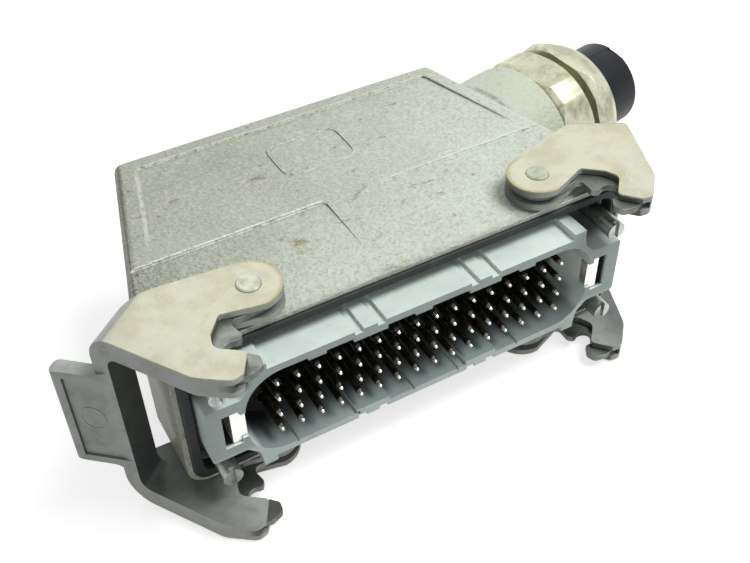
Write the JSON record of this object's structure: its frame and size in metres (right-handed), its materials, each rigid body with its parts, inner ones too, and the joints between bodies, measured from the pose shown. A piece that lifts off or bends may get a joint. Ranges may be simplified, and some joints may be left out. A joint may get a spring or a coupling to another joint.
{
  "type": "heavy duty rectangular connector",
  "caption": "Rectangular industrial plug: a pin insert in a die-cast hood with a side cable gland and two swinging locking levers.",
  "frame": {"origin": "centre of the contact grid, in the plane of the pin tips", "axes": "+X along the hood towards the cable outlet's side, -Y the way the plug goes into its mate, +Z out of the upper broad face"},
  "size_m": [0.1904, 0.0947, 0.0556],
  "materials": {
    "hood_casting": "worn grey paint, orange-peel texture",
    "lever_casting": "cream-grey die casting",
    "insert_plastic": "blue-grey moulding",
    "seal_rubber": "matt",
    "contact_plating": "plated",
    "earth_metal": "plated",
    "zinc_steel": "zinc-plated",
    "pin_steel": "satin",
    "hook_steel": "dull, oiled",
    "gland_metal": "dull plating",
    "bush_plastic": "moulded"
  },
  "bodies": {
    "root": {"hood_shell": "hood_casting", "rim_seal": "seal_rubber", "insert_body": "insert_plastic", "contact_row_a": "contact_plating", "contact_row_b": "contact_plating", "contact_row_c": "contact_plating", "contact_row_d": "contact_plating", "earth_contact_left": "earth_metal", "earth_contact_right": "earth_metal", "earth_screws": "zinc_steel", "fixing_screws": "zinc_steel", "left_pivot_pins": "pin_steel", "right_pivot_pins": "pin_steel", "gland_washer": "seal_rubber", "gland_body": "gland_metal", "gland_grommet": "seal_rubber", "gland_bush": "bush_plastic", "gland_nut": "gland_metal"},
    "left_lever": {"left_lever_frame": "lever_casting", "left_hook_plates": "hook_steel", "left_lever_rivets": "pin_steel"},
    "right_lever": {"right_lever_frame": "lever_casting", "right_hook_plates": "hook_steel", "right_lever_rivets": "pin_steel"}
  },
  "joints": [
    {"name": "left_lever_hinge", "type": "hinge", "parent": "root", "child": "left_lever", "pos_m": [-0.0374, 0.0123, 0], "axis": [0, 0, -1], "range_deg": [-20, 19]},
    {"name": "right_lever_hinge", "type": "hinge", "parent": "root", "child": "right_lever", "pos_m": [0.0374, 0.0123, 0], "axis": [0, 0, 1], "range_deg": [-30.5, 8.5]}
  ]
}
